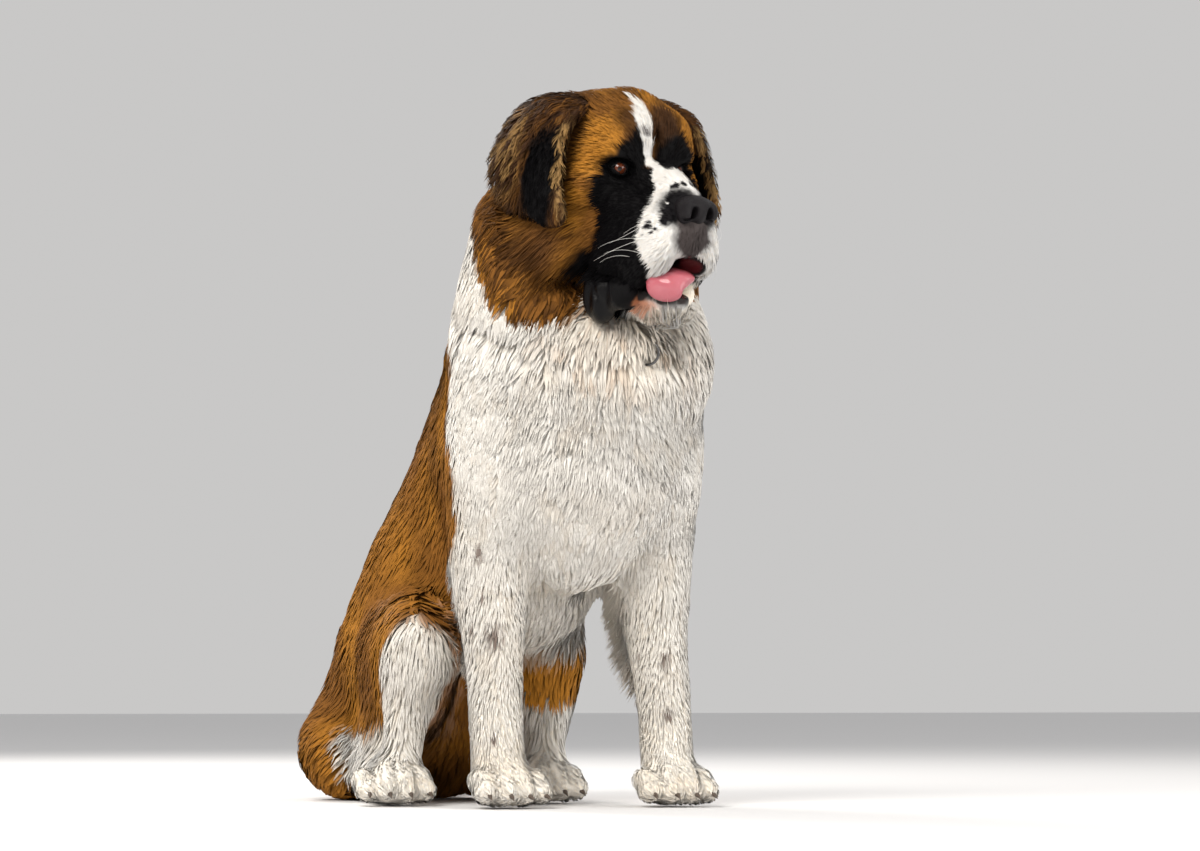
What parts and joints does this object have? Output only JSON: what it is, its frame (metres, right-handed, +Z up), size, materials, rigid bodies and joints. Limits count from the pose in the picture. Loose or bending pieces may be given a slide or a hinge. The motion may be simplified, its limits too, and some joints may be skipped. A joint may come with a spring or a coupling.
{
  "type": "saint bernard dog",
  "caption": "Life-size still model of a long-haired Saint Bernard dog, sitting upright with its head turned to its left and its mouth a little open.",
  "frame": {"origin": "on the floor, at the middle of the whole model's box seen from above", "axes": "+Z up from the floor, -Y the way the chest faces, +X the dog's left"},
  "size_m": [0.524, 1.1464, 0.992],
  "materials": {
    "coat_white": "long soft white hair",
    "coat_brown": "long reddish brown hair, darker on the ridge of the back",
    "coat_black": "short black velvety hair with crimped brown locks",
    "nose_leather": "moist pebbled black skin",
    "tongue": "wet pink flesh",
    "eye": "wet glossy eye with a red-brown iris",
    "claw_horn": "dark worn horn",
    "collar_leather": "plain dark leather, hidden in the coat",
    "ring_steel": "dull welded steel"
  },
  "bodies": {
    "root": {"claw_forepaw_left_1": "claw_horn", "claw_forepaw_left_2": "claw_horn", "claw_forepaw_left_3": "claw_horn", "claw_forepaw_left_4": "claw_horn", "claw_forepaw_right_1": "claw_horn", "claw_forepaw_right_2": "claw_horn", "claw_forepaw_right_3": "claw_horn", "claw_forepaw_right_4": "claw_horn", "claw_hindpaw_left_1": "claw_horn", "claw_hindpaw_left_2": "claw_horn", "claw_hindpaw_left_3": "claw_horn", "claw_hindpaw_left_4": "claw_horn", "claw_hindpaw_right_1": "claw_horn", "claw_hindpaw_right_2": "claw_horn", "claw_hindpaw_right_3": "claw_horn", "claw_hindpaw_right_4": "claw_horn", "collar": "collar_leather", "collar_ring": "ring_steel", "ear_left": "coat_black", "ear_right": "coat_black", "eye_left": "eye", "eye_right": "eye", "foreleg_left": "coat_white", "foreleg_right": "coat_white", "forepaw_left": "coat_white", "forepaw_right": "coat_white", "head": "coat_brown", "hindleg_left": "coat_white", "hindleg_right": "coat_white", "hindpaw_left": "coat_white", "hindpaw_right": "coat_white", "lower_jaw": "coat_white", "neck": "coat_white", "nose": "nose_leather", "tail": "coat_brown", "tongue": "tongue", "trunk": "coat_brown"}
  },
  "joints": []
}
